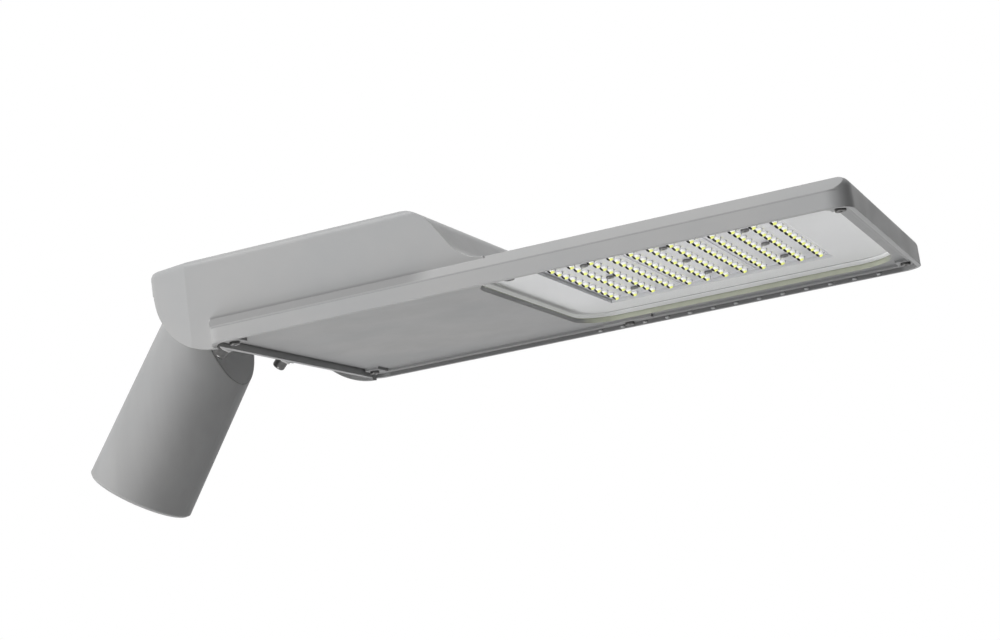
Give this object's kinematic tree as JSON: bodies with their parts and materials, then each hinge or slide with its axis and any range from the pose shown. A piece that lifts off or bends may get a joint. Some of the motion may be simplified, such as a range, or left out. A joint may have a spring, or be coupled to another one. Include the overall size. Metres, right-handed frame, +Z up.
{
  "type": "led street light head",
  "caption": "Flat street light head with a raised gear compartment, a glazed LED underside and a tube socket that tilts between two clamps.",
  "frame": {"origin": "centre of the pole socket's mouth", "axes": "+X forward from the pole to the lamp's nose, level along the tray; +Z up; Y across the tray"},
  "size_m": [0.6108, 0.26, 0.1568],
  "materials": {
    "powder_coat": "fine-textured light grey powder coat on die-cast aluminium",
    "socket_coat": "smooth light grey powder coat on cast aluminium",
    "zinc_steel": "stainless fastener steel",
    "toughened_glass": "clear toughened glass",
    "silicone": "dark grey silicone",
    "white_sheet": "white painted aluminium sheet",
    "board": "white solder mask on aluminium-core board",
    "lens_pmma": "clear moulded acrylic lens",
    "galvanised": "galvanised sheet steel",
    "driver_case": "dark grey painted aluminium case, potted",
    "surge_case": "red-orange moulded case",
    "terminal_plastic": "off-white polyamide",
    "black_plastic": "black polyamide"
  },
  "bodies": {
    "pole_adapter": {"pole_socket": "socket_coat", "set_screws": "zinc_steel"},
    "head": {"housing": "powder_coat", "cover_frame": "powder_coat", "cover_screws": "zinc_steel", "glass_pane": "toughened_glass", "glass_seal": "silicone", "cover_gasket": "silicone", "bezel_plate": "white_sheet", "led_board_1": "board", "led_board_2": "board", "led_board_3": "board", "lens_plate_1": "lens_pmma", "lens_plate_2": "lens_pmma", "lens_plate_3": "lens_pmma", "lens_screws_1": "zinc_steel", "lens_screws_2": "zinc_steel", "lens_screws_3": "zinc_steel", "gear_tray": "galvanised", "gear_tray_screws": "zinc_steel", "led_driver": "driver_case", "driver_screws": "zinc_steel", "surge_protector": "surge_case", "terminal_block": "terminal_plastic", "cable_clamp": "black_plastic", "cable_gland": "black_plastic", "gland_nut": "black_plastic", "breather_vent": "black_plastic", "clamp_cap_left": "powder_coat", "clamp_cap_right": "powder_coat", "clamp_bolt_left": "zinc_steel", "clamp_bolt_right": "zinc_steel", "clamp_washer_left": "zinc_steel", "clamp_washer_right": "zinc_steel"}
  },
  "joints": [
    {"name": "tilt", "type": "hinge", "parent": "pole_adapter", "child": "head", "pos_m": [0.08627, 0, 0.11939], "axis": [0, 1, 0], "range_deg": [-54.15, 35.85]}
  ]
}
